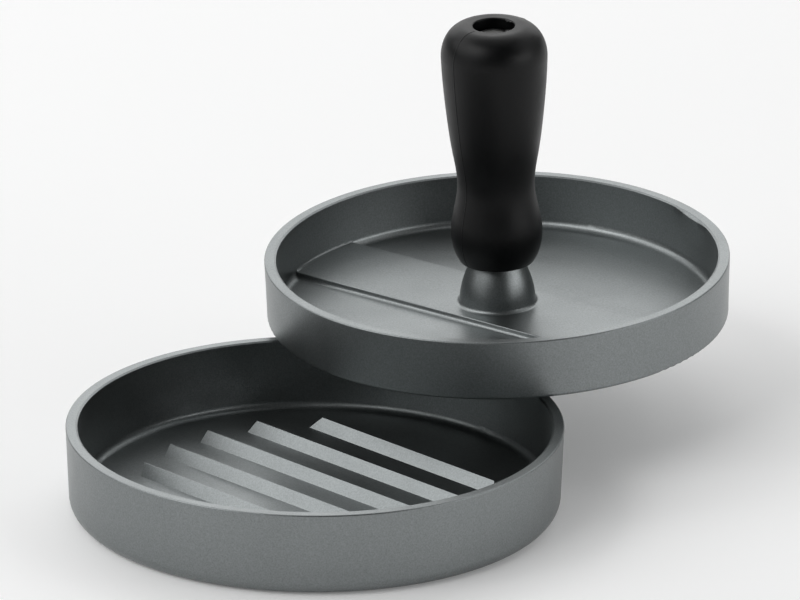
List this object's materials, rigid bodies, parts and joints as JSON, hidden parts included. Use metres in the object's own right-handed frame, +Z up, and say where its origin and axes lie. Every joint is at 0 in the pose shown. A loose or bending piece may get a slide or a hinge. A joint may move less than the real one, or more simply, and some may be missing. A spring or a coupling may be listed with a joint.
{
  "type": "patty press",
  "caption": "Cast two-piece patty press: a shallow ridged dish and a round hand press with an upright moulded handle, set down across the dish's rim.",
  "frame": {"origin": "on the dish's axis, at the flat face that it stands on", "axes": "+Z up along the dish's axis, +X to the right and +Y to the back as seen with the press standing behind the dish and a little to its right"},
  "size_m": [0.1637, 0.1865, 0.1018],
  "materials": {
    "coated_casting": "dark grey metallic non-stick coating on cast aluminium, satin with a fine grain",
    "grip_plastic": "black moulded plastic, satin, with a mould parting line",
    "plated_steel": "zinc-plated steel"
  },
  "bodies": {
    "base": {"dish": "coated_casting"},
    "press": {"press_plate": "coated_casting", "handle_grip": "grip_plastic", "handle_screw": "plated_steel", "flat_washer": "plated_steel", "spring_washer": "plated_steel"}
  },
  "joints": [
    {"name": "press_lift", "type": "slide", "parent": "base", "child": "press", "axis": [-0.548, -0.8275, 0.1226], "range_m": [0, 0.0816]}
  ]
}
